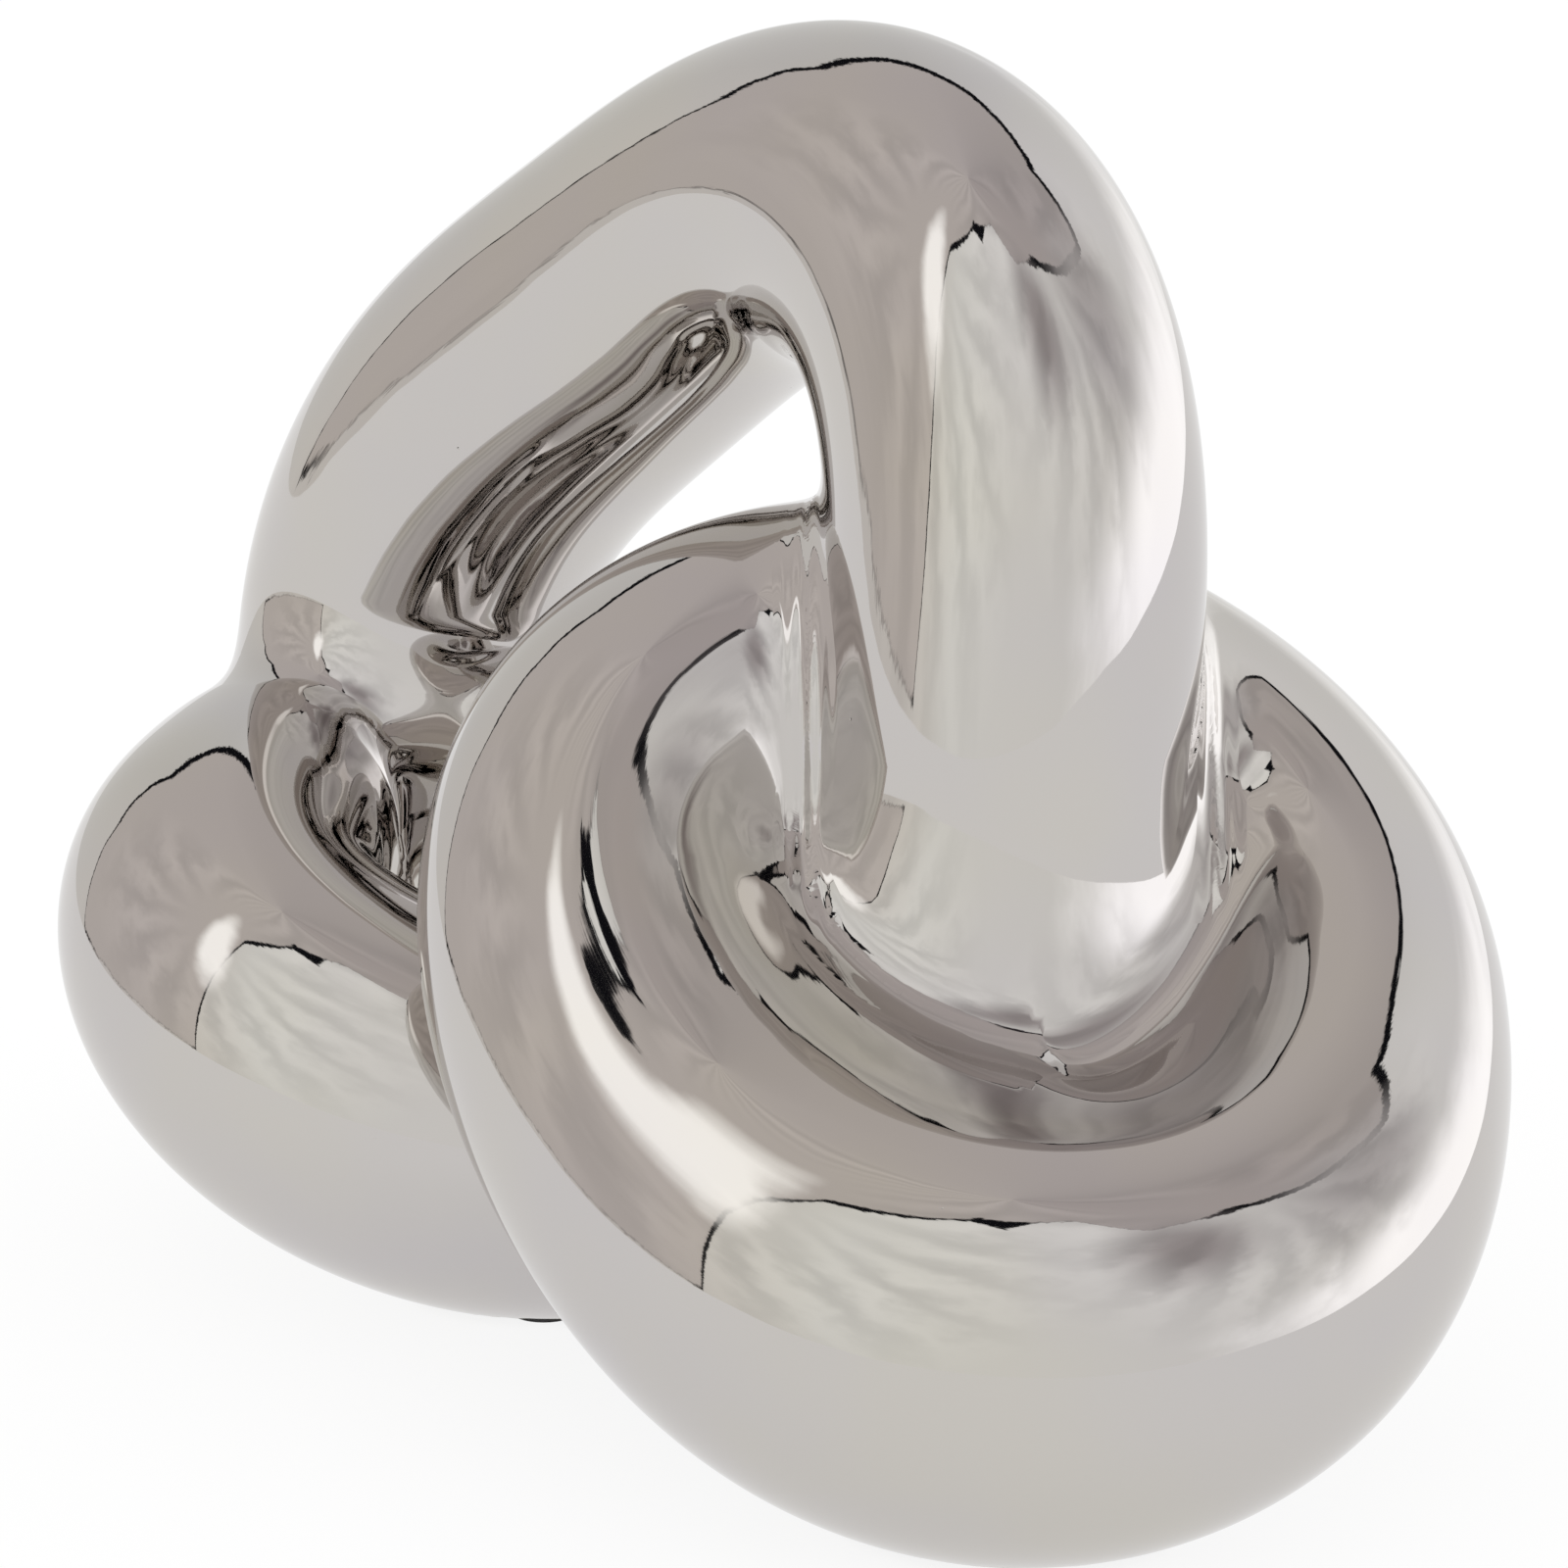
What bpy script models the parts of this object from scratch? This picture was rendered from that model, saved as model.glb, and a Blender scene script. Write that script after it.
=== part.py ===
"""Ceramic chain sculpture: three fat closed links, slip cast, fused where they touch, plated like a mirror.

Each link is a round tube along a closed oval that is bent a little out of its plane. It is hollow, stands on
a flat ground on its lowest stretch, and has a vent hole there. The front and left links are notched where
they lie against another link, a fillet of casting slip runs along each line where two links meet, and a web
of clay closes the front link's hole round the top link's limb.
"""
import math

import bmesh
import bpy
import numpy as np

MM = 0.001

# The ceramic body
WALL = 4.5 * MM                  # thickness of the cast shell
JOINT_GAP = 0.3 * MM             # clearance left between neighbouring pieces
VENT_DIAMETER = 4.0 * MM         # hole that lets the hollow breathe in the kiln
FILLET_REACH = 4.0 * MM          # how far a slip fillet runs up each link from the line of contact
FILLET_FILL = 0.35               # how full the fillet's hollow face is, as a share of that reach

# The web, a sheet of clay that the mould leaves across the front link's hole, round the top link's limb
WEB_THICKNESS = 5.0 * MM
WEB_RISE = 4.0 * MM              # how far it lies above the plane of the front link's oval
WEB_TOP = 9.0 * MM               # how far up the slope of that plane it runs, from the oval's centre

# Felt pads under the ground faces
PAD_DIAMETER = 11.0 * MM
PAD_THICKNESS = 0.9 * MM
GROUND_HEIGHT = PAD_THICKNESS + JOINT_GAP

# Top link: the large one, standing, whose front limb passes down through the front link.
# Place is the centre of its oval, heading and lean turn the oval's axis, and turn rolls the oval in its plane.
TOP_PLACE = (-10.0 * MM, 3.9 * MM)
TOP_HEADING = math.radians(-52.1)
TOP_LEAN = math.radians(9.9)
TOP_TURN = math.radians(-7.8)
TOP_HALF_WIDTH = 78.1 * MM
TOP_HALF_LENGTH = 83.5 * MM
TOP_TWIST = (1.55 * MM, 0.9 * MM)        # how far the oval bends out of its plane, twice round
TOP_EGG = (-0.09, -0.03)                 # how far the oval departs from an ellipse, three times round
TOP_TUBE_RADIUS = 23.95 * MM
TOP_SWELL = (-0.2 * MM, 6.6 * MM)        # change of the tube's radius, once round
TOP_SWELL_TWICE = (3.35 * MM, 0.15 * MM)  # and twice round
TOP_GROUND_DEPTH = 10.1 * MM             # how much of its lowest stretch is ground away
# Places of its felt pads, along its lowest stretch and sideways, from the lowest point
TOP_PADS = ((-36 * MM, 3 * MM), (14 * MM, 6 * MM))

# Front link: leans back, lowest at the front
FRONT_PLACE = (30.5 * MM, -65.7 * MM)
FRONT_HEADING = math.radians(10.9)
FRONT_LEAN = math.radians(54.7)
FRONT_TURN = math.radians(29.0)
FRONT_HALF_WIDTH = 55.7 * MM
FRONT_HALF_LENGTH = 62.2 * MM
FRONT_TWIST = (-0.2 * MM, -5.45 * MM)
FRONT_EGG = (-0.01, 0.04)
FRONT_TUBE_RADIUS = 27.9 * MM
FRONT_SWELL = (-2.35 * MM, -1.9 * MM)
FRONT_SWELL_TWICE = (-3.5 * MM, 1.35 * MM)
FRONT_GROUND_DEPTH = 3.4 * MM
FRONT_PADS = ((-15 * MM, 2 * MM), (15 * MM, 2 * MM))

# Left link: the smallest and lowest, an oval that lies behind the front link
LEFT_PLACE = (-41.2 * MM, 14.4 * MM)
LEFT_HEADING = math.radians(3.5)
LEFT_LEAN = math.radians(57.7)
LEFT_TURN = math.radians(-27.0)
LEFT_HALF_WIDTH = 54.8 * MM
LEFT_HALF_LENGTH = 37.2 * MM
LEFT_TWIST = (4.95 * MM, 2.75 * MM)
LEFT_EGG = (0.04, -0.07)
LEFT_TUBE_RADIUS = 20.4 * MM
LEFT_SWELL = (-7.0 * MM, -6.95 * MM)
LEFT_SWELL_TWICE = (-1.95 * MM, -0.35 * MM)
LEFT_GROUND_DEPTH = 3.2 * MM
LEFT_PADS = ((-16 * MM, 2 * MM), (-5 * MM, -6 * MM))

# How finely the surfaces are divided
STEPS_ROUND_LINK = 56
STEPS_ROUND_TUBE = 22
STEPS_ROUND_HOLLOW = 32
STEPS_ACROSS_HOLLOW = 12
STEPS_PER_FILLET_SIDE = 2
FILLET_STEP = 3.6 * MM
MIDDLE_LINE_STEPS = 720


class Link:
    """One closed tube, given by the rule of its middle line and of its radius."""

    def __init__(self, name, place, heading, lean, turn, half_width, half_length, twist, egg, radius, swell,
                 swell_twice, ground_depth, pads):
        self.name = name
        self.centre = np.array([place[0], place[1], 0.0])
        self.axis = np.array([math.sin(heading) * math.cos(lean), -math.cos(heading) * math.cos(lean),
                              math.sin(lean)])
        self.level = np.array([math.cos(heading), math.sin(heading), 0.0])
        self.slope = np.cross(self.axis, self.level)
        self.turn, self.half_width, self.half_length = turn, half_width, half_length
        self.twist, self.egg = twist, egg
        self.radius, self.swell, self.swell_twice = radius, swell, swell_twice
        self.pads = pads
        points, _ = self.surface(0.0, MIDDLE_LINE_STEPS, STEPS_ROUND_TUBE)
        self.centre[2] = GROUND_HEIGHT - ground_depth - points[..., 2].min()
        self.measure()

    def measure(self):
        """Samples of the middle line, for distances."""
        self.line, self.line_radius = self.middle_line(steps_round(MIDDLE_LINE_STEPS))

    def middle_line(self, angles):
        """Points of the tube's middle line and its radius there."""
        oval = 1 + self.egg[0] * np.cos(3 * angles) + self.egg[1] * np.sin(3 * angles)
        across = self.half_width * np.cos(angles - self.turn) * oval
        along = self.half_length * np.sin(angles - self.turn) * oval
        level = across * math.cos(self.turn) - along * math.sin(self.turn)
        slope = across * math.sin(self.turn) + along * math.cos(self.turn)
        out = self.twist[0] * np.cos(2 * angles) + self.twist[1] * np.sin(2 * angles)
        points = (self.centre + np.outer(level, self.level) + np.outer(slope, self.slope)
                  + np.outer(out, self.axis))
        radius = (self.radius + self.swell[0] * np.cos(angles) + self.swell[1] * np.sin(angles)
                  + self.swell_twice[0] * np.cos(2 * angles) + self.swell_twice[1] * np.sin(2 * angles))
        return points, radius

    def surface(self, offset, round_link, round_tube):
        """Grid of points on the tube's surface, moved out by offset; its flats lie on the true round."""
        angles = steps_round(round_link)
        points, radius = self.middle_line(angles)
        small = 0.001
        ahead, _ = self.middle_line(angles + small)
        behind, _ = self.middle_line(angles - small)
        tangent = unit(ahead - behind)
        outward = unit(np.cross(tangent, self.axis))
        upward = np.cross(outward, tangent)
        turn = steps_round(round_tube)
        reach = (radius + offset) / math.cos(math.pi / round_tube)
        spokes = (np.cos(turn)[None, :, None] * outward[:, None, :]
                  + np.sin(turn)[None, :, None] * upward[:, None, :])
        return points[:, None, :] + reach[:, None, None] * spokes, radius

    def distance(self, point):
        """Distance of a point from the tube's surface, less than zero inside, and the direction straight out."""
        away = point - self.line
        nearest = int(np.argmin(np.linalg.norm(away, axis=1) - self.line_radius))
        best = None
        for first in (nearest - 1, nearest):
            start, end = self.line[first], self.line[(first + 1) % MIDDLE_LINE_STEPS]
            step = end - start
            share = min(1.0, max(0.0, float((point - start) @ step / (step @ step))))
            radius_after = self.line_radius[(first + 1) % MIDDLE_LINE_STEPS]
            radius = (1 - share) * self.line_radius[first] + share * radius_after
            spoke = point - (start + share * step)
            length = float(np.linalg.norm(spoke))
            if best is None or length - radius < best[0]:
                best = (length - radius, spoke / length)
        return best


def unit(vectors):
    return vectors / np.linalg.norm(vectors, axis=-1, keepdims=True)


def steps_round(count):
    """Angles that divide a full turn evenly."""
    return np.linspace(0, 2 * math.pi, count, endpoint=False)


def material(name, colour, metallic, roughness):
    made = bpy.data.materials.new(name)
    made.use_nodes = True
    shader = made.node_tree.nodes["Principled BSDF"]
    shader.inputs["Base Color"].default_value = (*colour, 1.0)
    shader.inputs["Metallic"].default_value = metallic
    shader.inputs["Roughness"].default_value = roughness
    made.diffuse_color = (*colour, 1.0)
    return made


def object_from_bmesh(shape, name, surface_material, smooth=True):
    """Turn a bmesh into a named object whose faces point out."""
    bmesh.ops.recalc_face_normals(shape, faces=shape.faces)
    mesh = bpy.data.meshes.new(name)
    shape.to_mesh(mesh)
    shape.free()
    made = bpy.data.objects.new(name, mesh)
    bpy.context.scene.collection.objects.link(made)
    if surface_material:
        mesh.materials.append(surface_material)
    if smooth:
        mesh.shade_smooth()
        mesh.set_sharp_from_angle(angle=math.radians(40))
    return made


def closed_grid(points):
    """A bmesh of quads on a grid of points that closes both ways."""
    rows, columns = points.shape[:2]
    shape = bmesh.new()
    corners = [[shape.verts.new(tuple(points[row, column])) for column in range(columns)]
               for row in range(rows)]
    for row in range(rows):
        for column in range(columns):
            next_row, next_column = (row + 1) % rows, (column + 1) % columns
            shape.faces.new((corners[row][column], corners[next_row][column],
                             corners[next_row][next_column], corners[row][next_column]))
    return shape


def cylinder(name, centre, radius, bottom, top, segments, surface_material):
    shape = bmesh.new()
    bmesh.ops.create_cone(shape, cap_ends=True, segments=segments, radius1=radius, radius2=radius,
                          depth=top - bottom)
    bmesh.ops.translate(shape, verts=shape.verts, vec=(centre[0], centre[1], (top + bottom) / 2))
    return object_from_bmesh(shape, name, surface_material)


def make_cutter(cutter):
    cutter.hide_render = True
    cutter.display_type = "WIRE"
    return cutter


def cut(target, cutter):
    """Take the cutter's volume out of the target."""
    modifier = target.modifiers.new(cutter.name, "BOOLEAN")
    modifier.operation = "DIFFERENCE"
    modifier.object = cutter


def ground_cutter(links):
    """A block that holds all below the plane of the ground faces."""
    reach = 2 * max(max(link.half_width, link.half_length) + link.radius for link in links)
    shape = bmesh.new()
    bmesh.ops.create_cube(shape, size=1.0)
    bmesh.ops.scale(shape, verts=shape.verts, vec=(2 * reach, 2 * reach, reach))
    bmesh.ops.translate(shape, verts=shape.verts, vec=(0, 0, GROUND_HEIGHT - reach / 2))
    return make_cutter(object_from_bmesh(shape, "ground_cutter", None, smooth=False))


def lowest_stretch(link):
    """The lowest point of a link's middle line, and the level direction of the line there."""
    lowest = int(np.argmin(link.line[:, 2] - link.line_radius))
    ahead = link.line[(lowest + 1) % MIDDLE_LINE_STEPS] - link.line[lowest - 1]
    direction = unit(np.array([ahead[0], ahead[1], 0.0]))
    return link.line[lowest], direction


def make_link(link, ground, neighbours, surface_material):
    """A hollow tube with a ground face, a vent and a notch for each neighbour that keeps its own shape."""
    points, _ = link.surface(0.0, STEPS_ROUND_LINK, STEPS_ROUND_TUBE)
    shell = object_from_bmesh(closed_grid(points), link.name, surface_material)
    cut(shell, ground)

    hollow_points, _ = link.surface(-WALL, STEPS_ROUND_HOLLOW, STEPS_ACROSS_HOLLOW)
    hollow_points[..., 2] = np.maximum(hollow_points[..., 2], GROUND_HEIGHT + WALL)
    cut(shell, make_cutter(object_from_bmesh(closed_grid(hollow_points), link.name + "_hollow", None)))

    lowest, _ = lowest_stretch(link)
    vent = cylinder(link.name + "_vent", lowest, VENT_DIAMETER / 2, GROUND_HEIGHT - WALL,
                    GROUND_HEIGHT + 2 * WALL, 16, None)
    cut(shell, make_cutter(vent))

    for neighbour in neighbours:
        room, _ = neighbour.surface(JOINT_GAP, STEPS_ROUND_LINK, STEPS_ROUND_TUBE)
        name = link.name + "_room_for_" + neighbour.name
        cut(shell, make_cutter(object_from_bmesh(closed_grid(room), name, None)))
    return shell


def make_pads(link, surface_material):
    """Felt pads on the ground face, clear of the vent and of the other links."""
    lowest, direction = lowest_stretch(link)
    sideways = np.array([-direction[1], direction[0], 0.0])
    for letter, (along, side) in zip("ab", link.pads):
        name = link.name.replace("link", "pad") + "_" + letter
        centre = lowest + along * direction + side * sideways
        cylinder(name, centre, PAD_DIAMETER / 2, 0.0, PAD_THICKNESS, 32, surface_material)


def on_both(first, second, point, clearance):
    """Move a point to the given clearance from both links."""
    for _ in range(12):
        distance_1, out_1 = first.distance(point)
        distance_2, out_2 = second.distance(point)
        rows = np.array([out_1, out_2])
        wanted = np.array([clearance - distance_1, clearance - distance_2])
        point = point + np.linalg.lstsq(rows, wanted, rcond=None)[0]
    return point, out_1, out_2


def contact_lines(first, second):
    """The closed lines along which the surfaces of two links meet, as lists of points a step apart."""
    grid, _ = first.surface(0.0, 120, 36)
    values = np.array([[second.distance(point)[0] for point in row] for row in grid])
    crossing = (values * np.roll(values, -1, axis=0) < 0) | (values * np.roll(values, -1, axis=1) < 0)
    starts = [grid[row, column] for row, column in np.argwhere(crossing)]
    lines = []
    while starts:
        point, out_1, out_2 = on_both(first, second, starts[0], 0.0)
        line = [point]
        for _ in range(400):
            step = unit(np.cross(out_1, out_2)) * FILLET_STEP
            point, out_1, out_2 = on_both(first, second, line[-1] + step, 0.0)
            if len(line) > 3 and np.linalg.norm(point - line[0]) < 0.75 * FILLET_STEP:
                break
            line.append(point)
        lines.append(line)
        placed = np.array(line)
        starts = [start for start in starts if np.linalg.norm(placed - start, axis=1).min() > 3 * FILLET_STEP]
    return lines


def at_clearance(link, point, clearance):
    """Move a point straight out or in, to the given clearance from a link."""
    for _ in range(3):
        distance, out = link.distance(point)
        point = point + (clearance - distance) * out
    return point


def fillet_section(first, second, point, growth):
    """The outline of a fillet at one point of the line of contact: corner, one side, hollow face, other side."""
    largest = max(first.line_radius.max(), second.line_radius.max())
    facet_rise = largest * (1 / math.cos(math.pi / STEPS_ROUND_TUBE) - 1)
    clearance = JOINT_GAP + 1.6 * facet_rise - 2 * growth
    reach = FILLET_REACH + 2 * growth
    corner, out_1, out_2 = on_both(first, second, point, clearance)
    along_1 = unit(out_2 - (out_2 @ out_1) * out_1)
    along_2 = unit(out_1 - (out_1 @ out_2) * out_2)
    shares = [step / STEPS_PER_FILLET_SIDE for step in range(1, STEPS_PER_FILLET_SIDE + 1)]
    side_1 = [at_clearance(first, corner + share * reach * along_1, clearance) for share in shares]
    side_2 = [at_clearance(second, corner + share * reach * along_2, clearance) for share in shares]
    pull = corner + (FILLET_FILL * FILLET_REACH + 3 * growth) * unit(along_1 + along_2)
    face = []
    for share in (0.25, 0.5, 0.75):
        face.append((1 - share) ** 2 * side_1[-1] + 2 * share * (1 - share) * pull + share ** 2 * side_2[-1])
    return [corner] + side_1 + face + side_2[::-1]


def make_fillets(first, second, name, earlier, surface_material):
    """One closed ring of slip along each line where two links meet, cut back where an earlier one runs."""
    for number, line in enumerate(contact_lines(first, second)):
        label = name if number == 0 else name + "_" + str(number + 1)
        sections = np.array([fillet_section(first, second, point, 0.0) for point in line])
        fillet = object_from_bmesh(closed_grid(sections), label, surface_material)
        for cutter in [GROUND] + earlier:
            cut(fillet, cutter)
        grown = np.array([fillet_section(first, second, point, JOINT_GAP) for point in line])
        earlier.append(make_cutter(object_from_bmesh(closed_grid(grown), label + "_room", None)))


def make_web(link, neighbours, fillet_room, surface_material):
    """A sheet along the plane of a link's oval that closes the link's hole, cut back where other pieces run."""
    rim, _ = link.middle_line(steps_round(STEPS_ROUND_LINK))
    level_rim = rim - ((rim - link.centre) @ link.axis)[:, None] * link.axis
    above = np.maximum((level_rim - link.centre) @ link.slope - WEB_TOP, 0)
    level_rim = level_rim - above[:, None] * link.slope
    shape = bmesh.new()
    faces = []
    for rise in (WEB_RISE - WEB_THICKNESS / 2, WEB_RISE + WEB_THICKNESS / 2):
        corners = [shape.verts.new(tuple(point)) for point in level_rim + rise * link.axis]
        shape.faces.new(corners)
        faces.append(corners)
    for step in range(STEPS_ROUND_LINK):
        after = (step + 1) % STEPS_ROUND_LINK
        shape.faces.new((faces[0][step], faces[0][after], faces[1][after], faces[1][step]))
    web = object_from_bmesh(shape, link.name.replace("link", "web"), surface_material)
    for neighbour in (link,) + neighbours:
        room, _ = neighbour.surface(JOINT_GAP, STEPS_ROUND_LINK, STEPS_ROUND_TUBE)
        name = web.name + "_room_for_" + neighbour.name
        cut(web, make_cutter(object_from_bmesh(closed_grid(room), name, None)))
    for cutter in fillet_room:
        cut(web, cutter)


def centre_links(links):
    """Bring the middle of the three links' extent to the origin, across and along."""
    corners = np.concatenate([link.surface(0.0, STEPS_ROUND_LINK, STEPS_ROUND_TUBE)[0].reshape(-1, 3)
                              for link in links])
    middle = (corners.min(axis=0) + corners.max(axis=0)) / 2
    for link in links:
        link.centre[:2] -= middle[:2]
        link.measure()


for old in list(bpy.data.objects):
    bpy.data.objects.remove(old, do_unlink=True)

TOP = Link("link_top", TOP_PLACE, TOP_HEADING, TOP_LEAN, TOP_TURN, TOP_HALF_WIDTH, TOP_HALF_LENGTH, TOP_TWIST,
           TOP_EGG, TOP_TUBE_RADIUS, TOP_SWELL, TOP_SWELL_TWICE, TOP_GROUND_DEPTH, TOP_PADS)
FRONT = Link("link_front", FRONT_PLACE, FRONT_HEADING, FRONT_LEAN, FRONT_TURN, FRONT_HALF_WIDTH,
             FRONT_HALF_LENGTH, FRONT_TWIST, FRONT_EGG, FRONT_TUBE_RADIUS, FRONT_SWELL, FRONT_SWELL_TWICE,
             FRONT_GROUND_DEPTH, FRONT_PADS)
LEFT = Link("link_left", LEFT_PLACE, LEFT_HEADING, LEFT_LEAN, LEFT_TURN, LEFT_HALF_WIDTH, LEFT_HALF_LENGTH,
            LEFT_TWIST, LEFT_EGG, LEFT_TUBE_RADIUS, LEFT_SWELL, LEFT_SWELL_TWICE, LEFT_GROUND_DEPTH, LEFT_PADS)
LINKS = (TOP, FRONT, LEFT)
centre_links(LINKS)

GROUND = ground_cutter(LINKS)
NEIGHBOURS = {TOP: (), FRONT: (TOP,), LEFT: (TOP, FRONT)}
for one_link in LINKS:
    plated = material("plated_glaze_" + one_link.name, (0.78, 0.77, 0.75), 1.0, 0.04)
    make_link(one_link, GROUND, NEIGHBOURS[one_link], plated)
    make_pads(one_link, material("felt_" + one_link.name, (0.05, 0.05, 0.05), 0.0, 0.95))

FILLET_ROOM = []
for one, other, fillet_name in ((TOP, FRONT, "fillet_top_front"), (TOP, LEFT, "fillet_top_left"),
                                (FRONT, LEFT, "fillet_front_left")):
    plated_slip = material("plated_slip_" + fillet_name, (0.76, 0.75, 0.73), 1.0, 0.05)
    make_fillets(one, other, fillet_name, FILLET_ROOM, plated_slip)

make_web(FRONT, (TOP, LEFT), FILLET_ROOM, material("plated_web", (0.77, 0.76, 0.74), 1.0, 0.05))
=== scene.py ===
"""Ceramic chain sculpture: three slip-cast links, fused where they touch, under one plated mirror glaze."""
import math

import bpy
import numpy as np
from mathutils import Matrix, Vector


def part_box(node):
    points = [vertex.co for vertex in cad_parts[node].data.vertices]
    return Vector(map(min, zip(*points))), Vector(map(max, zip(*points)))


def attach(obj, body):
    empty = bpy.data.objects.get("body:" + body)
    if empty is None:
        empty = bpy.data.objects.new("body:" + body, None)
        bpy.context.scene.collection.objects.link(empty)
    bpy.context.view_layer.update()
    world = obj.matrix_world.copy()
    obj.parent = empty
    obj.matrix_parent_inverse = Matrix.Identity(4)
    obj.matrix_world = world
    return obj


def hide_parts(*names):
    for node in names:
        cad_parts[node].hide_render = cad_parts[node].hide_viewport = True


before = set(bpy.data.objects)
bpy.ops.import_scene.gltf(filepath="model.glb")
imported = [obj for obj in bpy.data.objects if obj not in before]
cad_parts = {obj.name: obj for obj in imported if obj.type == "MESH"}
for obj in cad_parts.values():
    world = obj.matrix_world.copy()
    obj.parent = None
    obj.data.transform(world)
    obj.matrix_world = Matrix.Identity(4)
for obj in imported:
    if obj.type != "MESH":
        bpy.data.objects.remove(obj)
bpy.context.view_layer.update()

# The three cast links
# Each link is a fat round tube along a closed oval that bends a little out of its plane and swells and
# thins on its way round. It is slip cast hollow in a plaster mould, and its shape follows one rule.
MM = 0.001
TOP = {
    "Place": (-6.2 * MM, 29.6 * MM, 88.5 * MM),
    "Heading": math.radians(-52.1),
    "Lean": math.radians(9.9),
    "Turn": math.radians(-7.8),
    "Half Sizes": (78.1 * MM, 83.5 * MM, 0.0),
    "Twist": (1.55 * MM, 0.9 * MM, 0.0),
    "Egg": (-0.09, -0.03, 0.0),
    "Tube Radius": 23.95 * MM,
    "Swell": (-0.2 * MM, 6.6 * MM, 0.0),
    "Swell Twice": (3.35 * MM, 0.15 * MM, 0.0),
}
FRONT = {
    "Place": (34.3 * MM, -40.0 * MM, 68.4 * MM),
    "Heading": math.radians(10.9),
    "Lean": math.radians(54.7),
    "Turn": math.radians(29.0),
    "Half Sizes": (55.7 * MM, 62.2 * MM, 0.0),
    "Twist": (-0.2 * MM, -5.45 * MM, 0.0),
    "Egg": (-0.01, 0.04, 0.0),
    "Tube Radius": 27.9 * MM,
    "Swell": (-2.35 * MM, -1.9 * MM, 0.0),
    "Swell Twice": (-3.5 * MM, 1.35 * MM, 0.0),
}
LEFT = {
    "Place": (-37.4 * MM, 40.1 * MM, 51.6 * MM),
    "Heading": math.radians(3.5),
    "Lean": math.radians(57.7),
    "Turn": math.radians(-27.0),
    "Half Sizes": (54.8 * MM, 37.2 * MM, 0.0),
    "Twist": (4.95 * MM, 2.75 * MM, 0.0),
    "Egg": (0.04, -0.07, 0.0),
    "Tube Radius": 20.4 * MM,
    "Swell": (-7.0 * MM, -6.95 * MM, 0.0),
    "Swell Twice": (-1.95 * MM, -0.35 * MM, 0.0),
}
STEPS_ROUND_LINK = 440
STEPS_ROUND_TUBE = 150


def add_node(tree, kind, inputs=None, stops=(), **settings):
    """Add a node, set its properties and its ramp, and set its inputs or link them to the nodes given."""
    node = tree.nodes.new(kind)
    for name, value in settings.items():
        setattr(node, name, value)
    if stops:
        ramp = node.color_ramp.elements
        for place, colour in stops[1:-1]:
            ramp.new(place).color = colour
        for end in (0, -1):
            ramp[end].position, ramp[end].color = stops[end]
    for name, value in (inputs or {}).items():
        if isinstance(value, bpy.types.Node):
            value = value.outputs[0]
        if isinstance(value, bpy.types.NodeSocket):
            tree.links.new(value, node.inputs[name])
        else:
            node.inputs[name].default_value = value
    return node


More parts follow.
